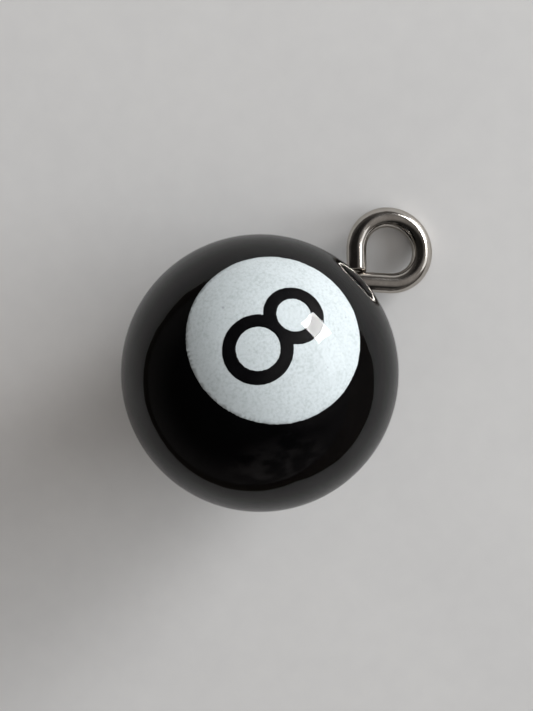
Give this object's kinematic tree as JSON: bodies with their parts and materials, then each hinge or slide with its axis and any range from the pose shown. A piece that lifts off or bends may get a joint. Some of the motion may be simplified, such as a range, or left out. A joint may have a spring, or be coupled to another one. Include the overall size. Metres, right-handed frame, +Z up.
{
  "type": "eight-ball charm",
  "caption": "Small black resin ball charm with a numbered white spot on two opposite sides, a clear gloss coat and a plated wire screw eye to hang it by.",
  "frame": {"origin": "on the table, under the middle of the whole charm's length and width", "axes": "+Z up as the charm lies on a table, +X from the ball towards the eye, +Y to the side of the eye's free leg"},
  "size_m": [0.0192, 0.016, 0.016],
  "materials": {
    "black_resin": "cast black resin, smooth under its coat",
    "white_ink": "opaque white printed ink with a slightly uneven edge",
    "black_ink": "opaque black printed ink",
    "clear_coat": "clear high-gloss lacquer with a faint orange-peel ripple",
    "plated_wire": "polished nickel-toned plating on steel wire, slightly wavy",
    "clear_glue": "clear hard glue"
  },
  "bodies": {
    "root": {"ball_core": "black_resin", "front_spot": "white_ink", "rear_spot": "white_ink", "front_numeral": "black_ink", "rear_numeral": "black_ink", "clear_coat": "clear_coat", "screw_eye": "plated_wire", "eye_glue": "clear_glue"}
  },
  "joints": []
}
